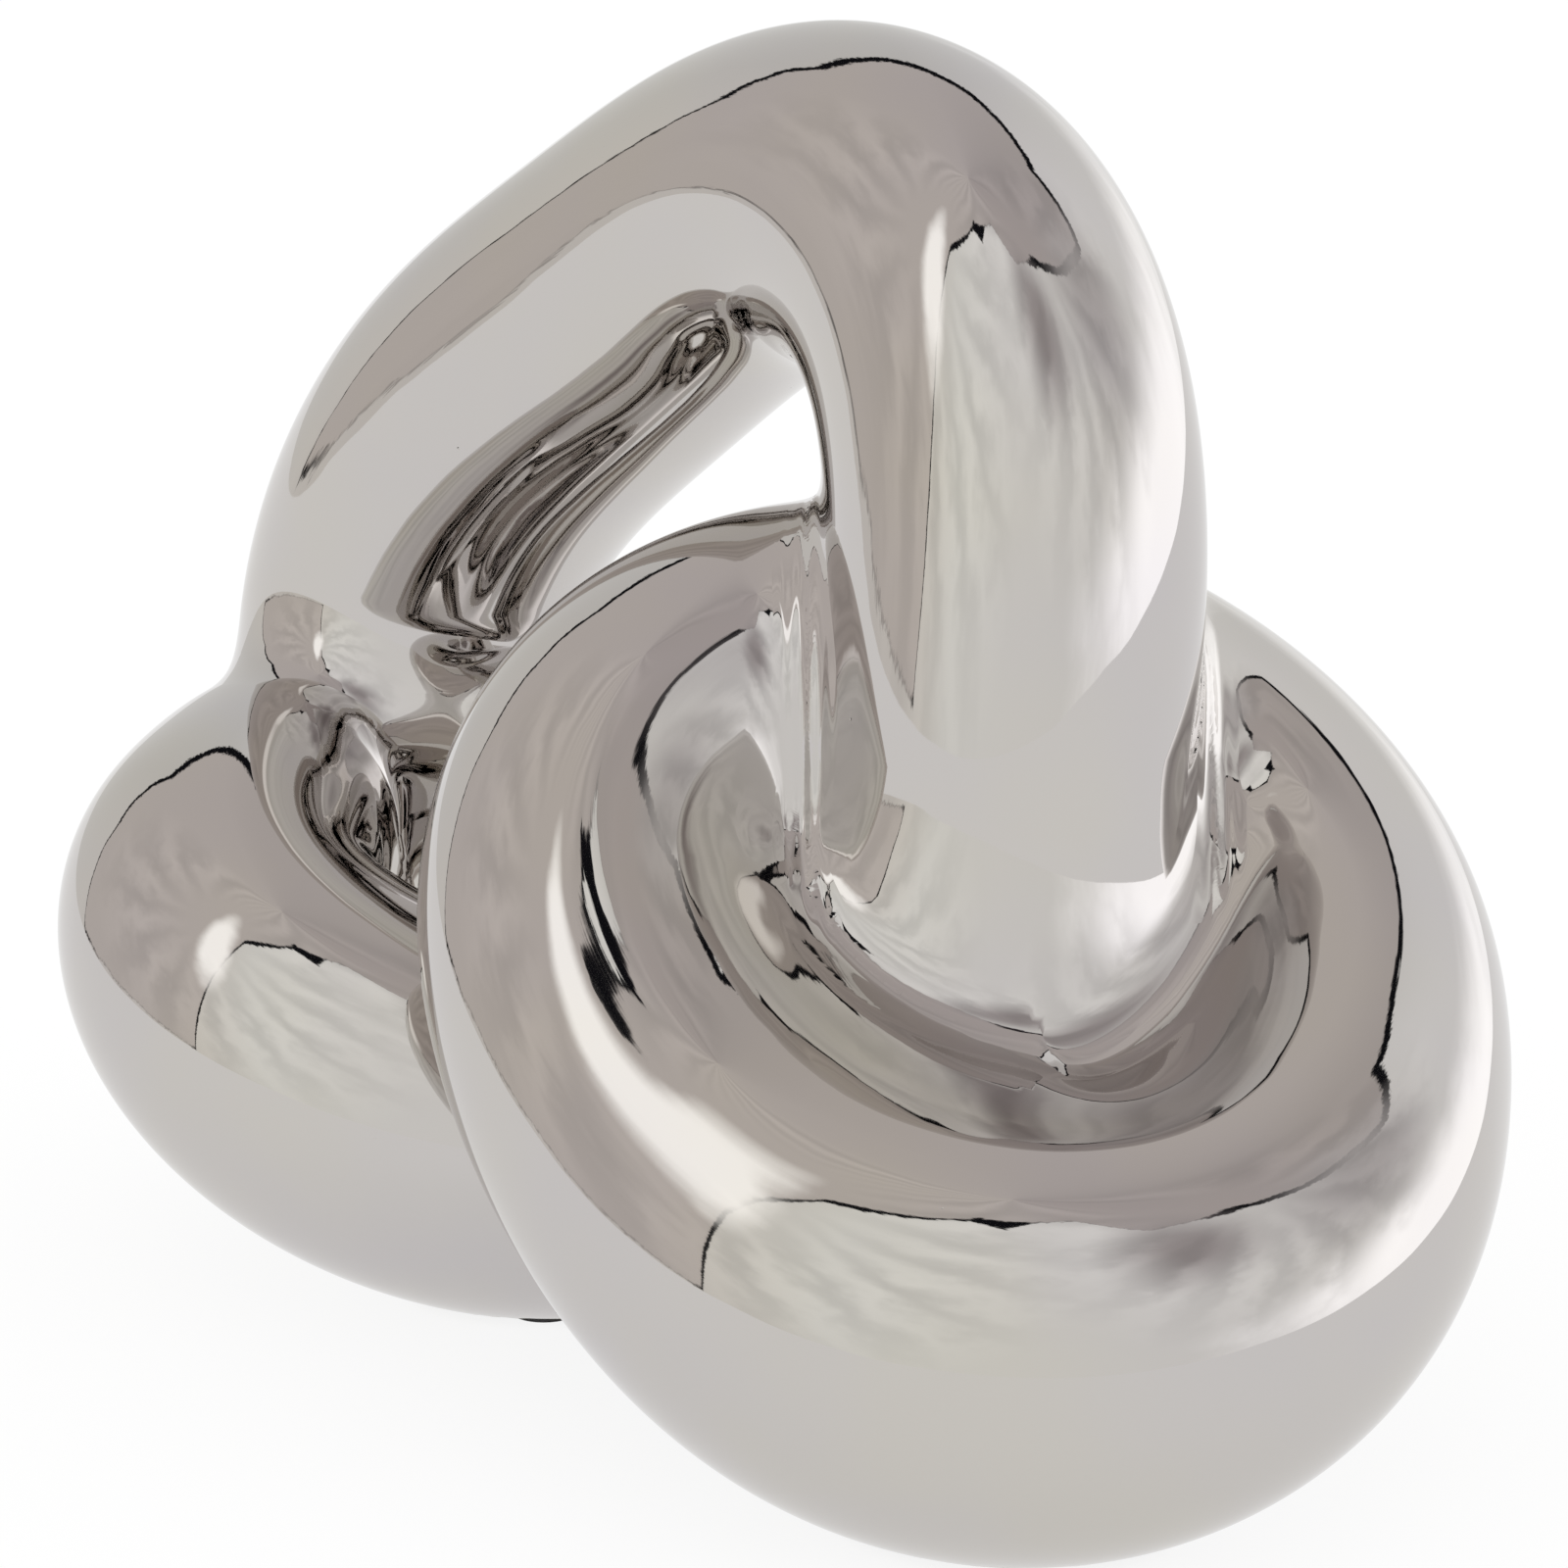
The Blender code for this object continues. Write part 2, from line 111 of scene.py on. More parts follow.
def cast_link_tree():
    """Geometry nodes for one link: a closed oval, bent out of its plane, with a tube swept round it."""
    tree = bpy.data.node_groups.new("cast link", "GeometryNodeTree")
    sockets = (("Place", "Vector"), ("Heading", "Float"), ("Lean", "Float"), ("Turn", "Float"),
               ("Half Sizes", "Vector"), ("Twist", "Vector"), ("Egg", "Vector"), ("Tube Radius", "Float"),
               ("Swell", "Vector"), ("Swell Twice", "Vector"), ("Steps Round Link", "Int"),
               ("Steps Round Tube", "Int"), ("Glaze", "Material"))
    for name, kind in sockets:
        tree.interface.new_socket(name, in_out="INPUT", socket_type="NodeSocket" + kind)
    tree.interface.new_socket("Cast", in_out="OUTPUT", socket_type="NodeSocketGeometry")
    given = add_node(tree, "NodeGroupInput").outputs

    step = add_node(tree, "GeometryNodeInputIndex")
    share = add_node(tree, "ShaderNodeMath", {0: step, 1: given["Steps Round Link"]}, operation="DIVIDE")
    angle = add_node(tree, "ShaderNodeMath", {0: share, 1: 2 * math.pi}, operation="MULTIPLY")
    waves = []
    for times in (1, 2, 3):
        turned = add_node(tree, "ShaderNodeMath", {0: angle, 1: times}, operation="MULTIPLY")
        cosine = add_node(tree, "ShaderNodeMath", {0: turned}, operation="COSINE")
        sine = add_node(tree, "ShaderNodeMath", {0: turned}, operation="SINE")
        waves.append(add_node(tree, "ShaderNodeCombineXYZ", {"X": cosine, "Y": sine}))
    once, twice, thrice = waves

    rolled = add_node(tree, "ShaderNodeMath", {0: given["Turn"], 1: -1.0}, operation="MULTIPLY")
    circle = add_node(tree, "ShaderNodeVectorRotate", {"Vector": once, "Angle": rolled},
                      rotation_type="Z_AXIS")
    ellipse = add_node(tree, "ShaderNodeVectorMath", {0: circle, 1: given["Half Sizes"]},
                       operation="MULTIPLY")
    egg = add_node(tree, "ShaderNodeVectorMath", {0: thrice, 1: given["Egg"]}, operation="DOT_PRODUCT")
    fullness = add_node(tree, "ShaderNodeMath", {0: egg.outputs["Value"], 1: 1.0}, operation="ADD")
    oval = add_node(tree, "ShaderNodeVectorMath", {0: ellipse, "Scale": fullness}, operation="SCALE")
    in_plane = add_node(tree, "ShaderNodeVectorRotate", {"Vector": oval, "Angle": given["Turn"]},
                        rotation_type="Z_AXIS")
    bend = add_node(tree, "ShaderNodeVectorMath", {0: twice, 1: given["Twist"]}, operation="DOT_PRODUCT")
    out_of_plane = add_node(tree, "ShaderNodeCombineXYZ", {"Z": bend.outputs["Value"]})
    bent = add_node(tree, "ShaderNodeVectorMath", {0: in_plane, 1: out_of_plane}, operation="ADD")
    tip = add_node(tree, "ShaderNodeMath", {0: math.pi / 2, 1: given["Lean"]}, operation="SUBTRACT")
    attitude = add_node(tree, "ShaderNodeCombineXYZ", {"X": tip, "Z": given["Heading"]})
    leaned = add_node(tree, "ShaderNodeVectorRotate", {"Vector": bent, "Rotation": attitude},
                      rotation_type="EULER_XYZ")
    placed = add_node(tree, "ShaderNodeVectorMath", {0: leaned, 1: given["Place"]}, operation="ADD")

    swell = add_node(tree, "ShaderNodeVectorMath", {0: once, 1: given["Swell"]}, operation="DOT_PRODUCT")
    swell_twice = add_node(tree, "ShaderNodeVectorMath", {0: twice, 1: given["Swell Twice"]},
                           operation="DOT_PRODUCT")
    fuller = add_node(tree, "ShaderNodeMath", {0: given["Tube Radius"], 1: swell.outputs["Value"]},
                      operation="ADD")
    radius = add_node(tree, "ShaderNodeMath", {0: fuller, 1: swell_twice.outputs["Value"]}, operation="ADD")

    loop = add_node(tree, "GeometryNodeCurvePrimitiveCircle", {"Resolution": given["Steps Round Link"]})
    line = add_node(tree, "GeometryNodeSetPosition", {"Geometry": loop, "Position": placed})
    round_profile = add_node(tree, "GeometryNodeCurvePrimitiveCircle",
                             {"Resolution": given["Steps Round Tube"], "Radius": 1.0})
    tube = add_node(tree, "GeometryNodeCurveToMesh",
                    {"Curve": line, "Profile Curve": round_profile, "Scale": radius})
    smooth = add_node(tree, "GeometryNodeSetShadeSmooth", {"Geometry": tube})
    real = add_node(tree, "GeometryNodeRealizeInstances", {"Geometry": smooth})
    glazed = add_node(tree, "GeometryNodeSetMaterial", {"Geometry": real, "Material": given["Glaze"]})
    add_node(tree, "NodeGroupOutput", {"Cast": glazed})
    return tree


CAST_LINK = cast_link_tree()


def cast(name, link, glaze):
    """Pour one link: the mesh that the tree gives for these sizes, as an object of its own."""
    piece = bpy.data.objects.new(name, bpy.data.meshes.new(name))
    bpy.context.scene.collection.objects.link(piece)
    mould = piece.modifiers.new("cast link", "NODES")
    mould.node_group = CAST_LINK
    values = {**link, "Steps Round Link": STEPS_ROUND_LINK, "Steps Round Tube": STEPS_ROUND_TUBE,
              "Glaze": glaze}
    for socket in CAST_LINK.interface.items_tree:
        if socket.in_out == "INPUT":
            mould[socket.identifier] = values[socket.name]
    poured = piece.evaluated_get(bpy.context.evaluated_depsgraph_get())
    mesh = bpy.data.meshes.new_from_object(poured)
    piece.modifiers.clear()
    piece.data = mesh
    mesh.name = name
    return piece


# Where two links touch, the potter scores them, sticks them together with slip and wipes the seam into
# a smooth hollow. Every link's surface is drawn up there so that it runs over into its neighbour's, and
# beyond the seam it is tucked a little under its neighbour's surface. The foot is ground flat.
FILLET_SIZE = 13.0 * MM
TUCK_SLOPE = 0.2
TUCK_MOST = 1.5 * MM
GROUND_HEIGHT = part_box("link_top")[0][2]

# The web is the sheet of clay in the front link's hole. It lies along the plane of that link's oval, ends
# a little above its centre, and has wider seams than the links have. Its sizes stand here because the
# links are drawn up to it too. Beyond WEB_REACH, as a share of the oval, the distance to it grows by
# WEB_END for each further share of one, so that it dies away inside the front link.
WEB_THICKNESS = 5.0 * MM
WEB_RISE = 4.0 * MM
WEB_TOP = 9.0 * MM
WEB_FILLET_SIZE = 27.0 * MM
WEB_REACH = 0.8
WEB_END = 120.0 * MM

# The nearest place on a link's middle line is picked from so many and is then brought closer in steps.
# The height of a seam's surface is found by halving. Angles are in radians.
FIRST_PLACES = 144
POINTS_AT_ONCE = 8000
CLOSER_STEPS = 4
LONGEST_STEP = 0.05
SMALL_STEP = 0.001
LEAST_BEND = 0.1
HALVINGS = 16


def plane_of(link):
    """The directions of a link's oval: level, up its slope, and square to it."""
    lean, heading = link["Lean"], link["Heading"]
    axis = np.array([math.sin(heading) * math.cos(lean), -math.cos(heading) * math.cos(lean), math.sin(lean)])
    level_way = np.array([math.cos(heading), math.sin(heading), 0.0])
    return level_way, np.cross(axis, level_way), axis


def middle_line(link, angles):
    """Points of a link's middle line by the rule that its mould has, and the tube's radius there."""
    turn = link["Turn"]
    oval = 1 + link["Egg"][0] * np.cos(3 * angles) + link["Egg"][1] * np.sin(3 * angles)
    across = link["Half Sizes"][0] * np.cos(angles - turn) * oval
    along = link["Half Sizes"][1] * np.sin(angles - turn) * oval
    level = across * math.cos(turn) - along * math.sin(turn)
    slope = across * math.sin(turn) + along * math.cos(turn)
    out = link["Twist"][0] * np.cos(2 * angles) + link["Twist"][1] * np.sin(2 * angles)
    level_way, slope_way, axis = plane_of(link)
    points = (np.array(link["Place"]) + np.outer(level, level_way) + np.outer(slope, slope_way)
              + np.outer(out, axis))
    radius = (link["Tube Radius"] + link["Swell"][0] * np.cos(angles) + link["Swell"][1] * np.sin(angles)
              + link["Swell Twice"][0] * np.cos(2 * angles) + link["Swell Twice"][1] * np.sin(2 * angles))
    return points, radius


def distance_to(link, points):
    """Each point's distance from a link's tube, less than zero inside, the way in which it grows, and the
    nearest place on the middle line."""
    places = np.linspace(0, 2 * math.pi, FIRST_PLACES, endpoint=False)
    line, _ = middle_line(link, places)
    nearest = [np.argmin(((some[:, None] - line) ** 2).sum(axis=2), axis=1)
               for some in np.array_split(points, len(points) // POINTS_AT_ONCE + 1)]
    angles = places[np.concatenate(nearest)]
    for _ in range(CLOSER_STEPS):
        here, radius = middle_line(link, angles)
        ahead, radius_ahead = middle_line(link, angles + SMALL_STEP)
        behind, radius_behind = middle_line(link, angles - SMALL_STEP)
        run = (ahead - behind) / (2 * SMALL_STEP)
        curve = (ahead - 2 * here + behind) / SMALL_STEP ** 2
        spoke = points - here
        speed = (run * run).sum(axis=1)
        bend = np.maximum(speed - (spoke * curve).sum(axis=1), LEAST_BEND * speed)
        step = (spoke * run).sum(axis=1) / bend
        angles = angles + np.clip(step, -LONGEST_STEP, LONGEST_STEP)
    length = np.linalg.norm(spoke, axis=1)
    growth = spoke / length[:, None]
    growth = growth - run * ((radius_ahead - radius_behind) / (2 * SMALL_STEP) / bend)[:, None]
    return length - radius, growth, here


def distance_to_web(points):
    """Each point's distance from the web, with the way in which it grows."""
    level_way, slope_way, axis = plane_of(FRONT)
    off = points - np.array(FRONT["Place"])
    turned = np.exp(-1j * FRONT["Turn"]) * (off @ level_way + 1j * (off @ slope_way))
    round_one = turned.real / FRONT["Half Sizes"][0] + 1j * turned.imag / FRONT["Half Sizes"][1]
    out = off @ axis - WEB_RISE
    over = np.abs(out) - WEB_THICKNESS / 2 + WEB_END * np.clip(np.abs(round_one) - WEB_REACH, 0, None)
    above = off @ slope_way - WEB_TOP
    corner = np.hypot(np.maximum(over, 0), np.maximum(above, 0))
    distance = corner + np.minimum(np.maximum(over, above), 0)
    share = np.where(corner > 0, np.maximum(above, 0) / np.maximum(corner, 1e-9), above > over)[:, None]
    side = np.sqrt(1 - share ** 2) * np.sign(out)[:, None]
    return distance, share * slope_way + side * axis


def joined(first, second, size=FILLET_SIZE):
    """The distance from two shapes melted into one with a fillet between, and the way in which it grows."""
    blend = np.clip(size - np.abs(first[0] - second[0]), 0, None) / size
    distance = np.minimum(first[0], second[0]) - blend ** 2 * size / 4
    share = np.where(first[0] < second[0], 1 - blend / 2, blend / 2)[:, None]
    return distance, share * first[1] + (1 - share) * second[1]


def raised(start, way, own_growth, most, links, size, web=None):
    """Points moved out from their own surface to the melted one, its normals, and how filleted they are."""
    low = np.zeros(len(start))
    high = np.full(len(start), most)
    for _ in range(HALVINGS):
        height = (low + high) / 2
        tried = start + height[:, None] * way
        others = distance_to(links[0], tried)[:2]
        for link in links[1:]:
            others = joined(others, distance_to(link, tried)[:2])
        melted, growth = joined((height, own_growth), others, size)
        nearest = others[0]
        if web:
            sheet = web(tried)
            melted, growth = joined((melted, growth), sheet, WEB_FILLET_SIZE)
            nearest = np.minimum(nearest, sheet[0])
        under = melted + TUCK_SLOPE * np.clip(height - nearest, 0, None) < 0
        low = np.where(under, height, low)
        high = np.where(under, high, height)
    filleted = np.clip(1 - np.abs(height - others[0]) / size, 0, 1)
    return tried, growth, filleted


def finish_surface(mesh, points, normals, fillet):
    """Grind the foot flat, and give the mesh its points, its normals and its share of fillet."""
    normals /= np.linalg.norm(normals, axis=1)[:, None]
    ground = points[:, 2] < GROUND_HEIGHT
    points[ground, 2] = GROUND_HEIGHT
    normals[ground] = (0, 0, -1)
    mesh.vertices.foreach_set("co", points.ravel())
    mesh.attributes.new("fillet", "FLOAT", "POINT").data.foreach_set("value", fillet)
    mesh.update()
    mesh.normals_split_custom_set_from_vertices(normals)


def lute(piece, link, neighbours, web):
    """Draw a link's surface out to the fillets, tuck it under its neighbours' beyond them, grind its foot."""
    mesh = piece.data
    points = np.empty(len(mesh.vertices) * 3)
    mesh.vertices.foreach_get("co", points)
    points = points.reshape(-1, 3)
    distance, normals, middle = distance_to(link, points)
    spoke = points - middle
    spoke /= np.linalg.norm(spoke, axis=1)[:, None]
    points = points - distance[:, None] * spoke

    rest = [distance_to(other, points)[0] for other in neighbours]
    reach = FILLET_SIZE
    if web:
        rest.append(web(points)[0])
        reach = WEB_FILLET_SIZE
    near = np.flatnonzero(np.min(rest, axis=0) < reach)
    fillet = np.zeros(len(points))
    points[near], normals[near], fillet[near] = raised(
        points[near], spoke[near], normals[near], reach / 4 + TUCK_MOST, neighbours, FILLET_SIZE, web)
    finish_surface(mesh, points, normals, fillet)


# A thin film of metal fired over a glossy glaze covers all but the ground foot. It mirrors like polished
# steel, a touch warm. The glaze under it flowed as it melted, so the mirror waves slowly and is clouded by
# faint tints. In the seams in front, fingers left upright flutes in the slip. The sizes of the waves, the
# grain and the clouds are those of one swelling. Real pinholes are finer and are drawn coarser, to show.
WAVE_SIZE = 26 * MM
WAVE_DEPTH = 0.16 * MM
GRAIN_SIZE = 2.2 * MM
GRAIN_DEPTH = 0.0012 * MM
PINHOLE_SPACING = 19 * MM
PINHOLE_FLOOR_RADIUS = 0.114 * MM
PINHOLE_RIM_RADIUS = 0.247 * MM
PINHOLE_DEPTH = 0.1 * MM
CLOUD_SIZE = 45 * MM
PLATED_ROUGHNESS = 0.025
CLAY_ROUGHNESS = 0.8
CLAY_EDGE = 0.05 * MM
PLATED_EDGE = 0.35 * MM
FLUTE_WIDTH = 3.2 * MM
FLUTE_DEPTH = 0.35 * MM
# The flutes grow from nothing at the first of these places to their full depth at the second.
FLUTES_START = {"fillet": 0.45, "height": 80 * MM, "y": 6 * MM}
FLUTES_FULL = {"fillet": 0.95, "height": 92 * MM, "y": -6 * MM}
# A wave texture at scale 1 repeats after so many metres.
WAVE_TEXTURE_PERIOD = 0.314


def linear(code):
    """A colour written as sRGB hex, in the linear values that shaders take."""
    parts = [int(code[place:place + 2], 16) / 255 for place in (1, 3, 5)]
    return tuple(part / 12.92 if part <= 0.04045 else ((part + 0.055) / 1.055) ** 2.4
                 for part in parts) + (1.0,)


def mirror_glaze(name):
    """The lustre over its glaze: finger flutes in the seams, waves, grain, pinholes, tints, a bare foot."""
    made = bpy.data.materials.new(name)
    made.use_nodes = True
    tree = made.node_tree
    shader = tree.nodes["Principled BSDF"]
    place = add_node(tree, "ShaderNodeTexCoord").outputs["Object"]
    parts = add_node(tree, "ShaderNodeSeparateXYZ", {"Vector": place}).outputs

    in_fillet = add_node(tree, "ShaderNodeAttribute", attribute_name="fillet").outputs["Fac"]
    pressed = 1.0
    for measure, value in (("height", parts["Z"]), ("y", parts["Y"]), ("fillet", in_fillet)):
        share = add_node(tree, "ShaderNodeMapRange", {
            "Value": value, "From Min": FLUTES_START[measure], "From Max": FLUTES_FULL[measure]})
        pressed = add_node(tree, "ShaderNodeMath", {0: pressed, 1: share}, operation="MULTIPLY")
    bands = add_node(tree, "ShaderNodeTexWave", {
        "Vector": place, "Scale": WAVE_TEXTURE_PERIOD / FLUTE_WIDTH, "Distortion": 1.5, "Detail": 1.0,
        "Detail Scale": 0.3}, bands_direction="X")
    flutes = add_node(tree, "ShaderNodeMath", {0: bands, 1: pressed}, operation="MULTIPLY")

    waves = add_node(tree, "ShaderNodeTexNoise", {"Vector": place, "Scale": 1 / WAVE_SIZE, "Detail": 1.5})
    grain = add_node(tree, "ShaderNodeTexNoise", {"Vector": place, "Scale": 1 / GRAIN_SIZE, "Detail": 1.0})
    cells = add_node(tree, "ShaderNodeTexVoronoi", {"Vector": place, "Scale": 1 / PINHOLE_SPACING})
    pinholes = add_node(tree, "ShaderNodeMapRange", {
        "Value": cells.outputs["Distance"], "From Min": PINHOLE_FLOOR_RADIUS / PINHOLE_SPACING,
        "From Max": PINHOLE_RIM_RADIUS / PINHOLE_SPACING})
    relief = add_node(tree, "ShaderNodeBump", {"Height": flutes, "Distance": FLUTE_DEPTH, "Strength": 1.0})
    for heights, depth in ((waves, WAVE_DEPTH), (grain, GRAIN_DEPTH), (pinholes, PINHOLE_DEPTH)):
        relief = add_node(tree, "ShaderNodeBump", {
            "Height": heights, "Distance": depth, "Strength": 1.0, "Normal": relief})

    clouds = add_node(tree, "ShaderNodeTexNoise", {"Vector": place, "Scale": 1 / CLOUD_SIZE, "Detail": 2.0})
    tint = add_node(tree, "ShaderNodeValToRGB", {"Fac": clouds}, stops=(
        (0.3, linear("#c8c4c4")), (0.5, linear("#cac6c3")), (0.7, linear("#cbc7c1"))))
    plated = add_node(tree, "ShaderNodeMapRange", {
        "Value": parts["Z"], "From Min": GROUND_HEIGHT + CLAY_EDGE, "From Max": GROUND_HEIGHT + PLATED_EDGE})
    coat = add_node(tree, "ShaderNodeMix", {0: plated, 6: linear("#d9cfc0"), 7: tint}, data_type="RGBA")
    rough = add_node(tree, "ShaderNodeMapRange", {
        "Value": plated, "To Min": CLAY_ROUGHNESS, "To Max": PLATED_ROUGHNESS})
    tree.links.new(coat.outputs[2], shader.inputs["Base Color"])
    tree.links.new(plated.outputs[0], shader.inputs["Metallic"])
    tree.links.new(rough.outputs[0], shader.inputs["Roughness"])
    tree.links.new(relief.outputs[0], shader.inputs["Normal"])
    return made


GLAZE = mirror_glaze("lustre plated glaze")
for node_name, piece_name, this_link, other_links, web_beside in (
        ("link_top", "top_link", TOP, (FRONT, LEFT), distance_to_web),
        ("link_front", "front_link", FRONT, (TOP, LEFT), distance_to_web),
        ("link_left", "left_link", LEFT, (TOP, FRONT), None)):
    piece = cast(piece_name, this_link, GLAZE)
    lute(piece, this_link, other_links, web_beside)
    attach(piece, "root")
    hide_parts(node_name)
    if node_name == "link_top":
        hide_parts(*[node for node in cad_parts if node.startswith("fillet")])

# The web
# A sheet of clay luted into the front link's hole, so that the hole is closed in front of the top link's
# limb. It has the links' glaze. Its rim lies inside them, and both of its faces are drawn up to them.
WEB_STEPS_ROUND = 300
WEB_STEPS_OUT = 70
WEB_HUB_DEPTH = 20 * MM


def web_faces(first, outward):
    """The faces of one side of the web: rings of squares, and triangles round its hub."""
    faces = []
    hub = first + WEB_STEPS_OUT * WEB_STEPS_ROUND
    for ring in range(WEB_STEPS_OUT):
        start = first + ring * WEB_STEPS_ROUND
        for step in range(WEB_STEPS_ROUND):
            here, after = start + step, start + (step + 1) % WEB_STEPS_ROUND
            inner = [hub] if ring == WEB_STEPS_OUT - 1 else [after + WEB_STEPS_ROUND, here + WEB_STEPS_ROUND]
            faces.append([here, after] + inner)
    return faces if outward else [face[::-1] for face in faces]


def make_web(name, glaze):
    """The web as a closed sheet, from rings that run from its rim in to its hub."""
    level_way, slope_way, axis = plane_of(FRONT)
    centre = np.array(FRONT["Place"])
    rim, _ = middle_line(FRONT, np.linspace(0, 2 * math.pi, WEB_STEPS_ROUND, endpoint=False))
    rim = np.stack([(rim - centre) @ level_way, np.minimum((rim - centre) @ slope_way, WEB_TOP)], axis=1)
    hub = np.array([0.0, WEB_TOP - WEB_HUB_DEPTH])
    share = np.linspace(1, 0, WEB_STEPS_OUT + 1)[:-1]
    flat = (hub + share[:, None, None] * (rim - hub)).reshape(-1, 2)
    flat = np.vstack([flat, hub])
    sheet = centre + flat[:, :1] * level_way + flat[:, 1:] * slope_way

    points, normals, fillet, faces = [], [], [], []
    for side in (1, -1):
        faces += web_faces(len(sheet) * len(points), side > 0)
        start = sheet + (WEB_RISE + side * WEB_THICKNESS / 2) * axis
        way = np.tile(side * axis, (len(start), 1))
        most = WEB_FILLET_SIZE / 4 + TUCK_MOST
        drawn, growth, filleted = raised(start, way, way, most, (TOP, FRONT), WEB_FILLET_SIZE)
        points.append(drawn)
        normals.append(growth)
        fillet.append(filleted)
    for step in range(WEB_STEPS_ROUND):
        after = (step + 1) % WEB_STEPS_ROUND
        faces.append([after, step, len(sheet) + step, len(sheet) + after])
    points = np.concatenate(points)
    mesh = bpy.data.meshes.new(name)
    mesh.from_pydata(points.tolist(), [], faces)
    mesh.shade_smooth()
    mesh.materials.append(glaze)
    finish_surface(mesh, points, np.concatenate(normals), np.concatenate(fillet))
    piece = bpy.data.objects.new(name, mesh)
    bpy.context.scene.collection.objects.link(piece)
    return piece


WEB = make_web("front_web", GLAZE)
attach(WEB, "root")
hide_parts("web_front")

# The felt pads
# Round pads cut from pressed grey wool felt and stuck under the ground foot. Matted fibres of lighter and
# darker wool cross on them and give a dull, rough face. A wool fibre is about 0.03 mm thick, too fine to
# show, so the fibres are drawn some ten times coarser. The pads are the frame's own solids.
FIBRE_SIZE = 0.35 * MM
FIBRE_DEPTH = 0.12 * MM


def wool_felt(name):
    """Pressed wool: crossing fibres in three greys, raised a little."""
    made = bpy.data.materials.new(name)
    made.use_nodes = True
    tree = made.node_tree
    shader = tree.nodes["Principled BSDF"]
    shader.inputs["Roughness"].default_value = 0.95
    place = add_node(tree, "ShaderNodeTexCoord").outputs["Object"]
    fibres = add_node(tree, "ShaderNodeTexNoise", {"Vector": place, "Scale": 1 / FIBRE_SIZE, "Detail": 4.0,
                                                   "Distortion": 2.5})
    greys = add_node(tree, "ShaderNodeValToRGB", {"Fac": fibres}, stops=(
        (0.3, linear("#3f3e40")), (0.55, linear("#5b5a5c")), (0.75, linear("#7a797a"))))
    matted = add_node(tree, "ShaderNodeBump", {"Height": fibres, "Distance": FIBRE_DEPTH, "Strength": 1.0})
    tree.links.new(greys.outputs[0], shader.inputs["Base Color"])
    tree.links.new(matted.outputs[0], shader.inputs["Normal"])
    return made


FELT = wool_felt("pressed grey wool felt")
for node_name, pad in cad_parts.items():
    if node_name.startswith("pad_"):
        pad.data.materials.clear()
        pad.data.materials.append(FELT)

# The floor
# The photo tent's table top, a board painted matt white. To the camera and in the mirror most of it is
# plain light, so that it looks white, and the rest is paint, which keeps the sculpture's soft shadow.
HALF_FLOOR = 4.0
GLOWING_SHARE = 0.82
SEEN_GLOW = 1.06
MIRRORED_GLOW = 0.96


def white_table(name):
    """Matt white paint, with a share of plain light for the camera and the mirror."""
    made = bpy.data.materials.new(name)
    made.use_nodes = True
    tree = made.node_tree
    board = tree.nodes["Principled BSDF"]
    board.inputs["Base Color"].default_value = linear("#e6e6e6")
    board.inputs["Roughness"].default_value = 0.9
    board.inputs["Specular IOR Level"].default_value = 0.1
    ray = add_node(tree, "ShaderNodeLightPath").outputs
    glow = add_node(tree, "ShaderNodeMath", {
        0: ray["Is Glossy Ray"], 1: MIRRORED_GLOW - SEEN_GLOW, 2: SEEN_GLOW}, operation="MULTIPLY_ADD")
    light = add_node(tree, "ShaderNodeEmission", {"Color": (1, 1, 1, 1), "Strength": glow})
    seen = add_node(tree, "ShaderNodeMath", {0: ray["Is Camera Ray"], 1: ray["Is Glossy Ray"]},
                    operation="MAXIMUM")
    share = add_node(tree, "ShaderNodeMath", {0: seen, 1: GLOWING_SHARE}, operation="MULTIPLY")
    shown = add_node(tree, "ShaderNodeMixShader", {0: share, 1: board, 2: light})
    tree.links.new(shown.outputs[0], tree.nodes["Material Output"].inputs["Surface"])
    return made


floor_mesh = bpy.data.meshes.new("studio_floor")
floor_mesh.from_pydata([(across * HALF_FLOOR, deep * HALF_FLOOR, 0)
                        for across, deep in ((-1, -1), (1, -1), (1, 1), (-1, 1))], [], [(0, 1, 2, 3)])
floor_mesh.materials.append(white_table("matt white table"))
FLOOR = bpy.data.objects.new("studio_floor", floor_mesh)
bpy.context.scene.collection.objects.link(FLOOR)

# The photo tent
# What the mirror shows, by direction in degrees round and up: white cloth walls, grey cloth on the left
# side, a grey roof opening with a black trim, a softbox in front, a strip light behind, and grey flags.
# Round starts at the camera, with the right side at 90. The camera and matt things see plain white.
OPENING_EDGE = ((-180, 46), (-150, 44), (-130, 26), (-119, 0), (-62, 0), (-53, 40), (-46, 64), (-20, 77),
                (20, 78), (35, 68), (60, 66), (80, 56), (104, 48), (128, 57), (150, 53), (180, 46))
TRIM_WIDTH = ((-180, 3.0), (-150, 2.6), (-126, 1.4), (-105, 0.0), (-64, 0.0), (-58, 2.6), (-38, 2.2),
              (-26, 1.0), (-8, 4.4), (2, 0.4), (12, 0.0), (48, 0.0), (56, 2.6), (100, 2.7), (130, 2.0),
              (180, 3.0))
WALL_TINTS = ((-180, "#dcdcda"), (-150, "#dddcd9"), (-125, "#e6e4e0"), (-112, "#e2dfdc"), (-70, "#e4e1dc"),
              (-58, "#eceae4"), (-40, "#f7f8f4"), (0, "#f6f6f4"), (45, "#f4f4f2"), (70, "#e6e5e3"),
              (95, "#ebeae9"), (112, "#f6f6f5"), (130, "#f4f4f4"), (180, "#dcdcda"))
OPENING_TINTS = ((-180, "#d0cac7"), (-120, "#d3cdc9"), (-60, "#d6d0cb"), (0, "#cdc7c4"), (60, "#c3bcba"),
                 (120, "#bfb9b7"), (180, "#d0cac7"))
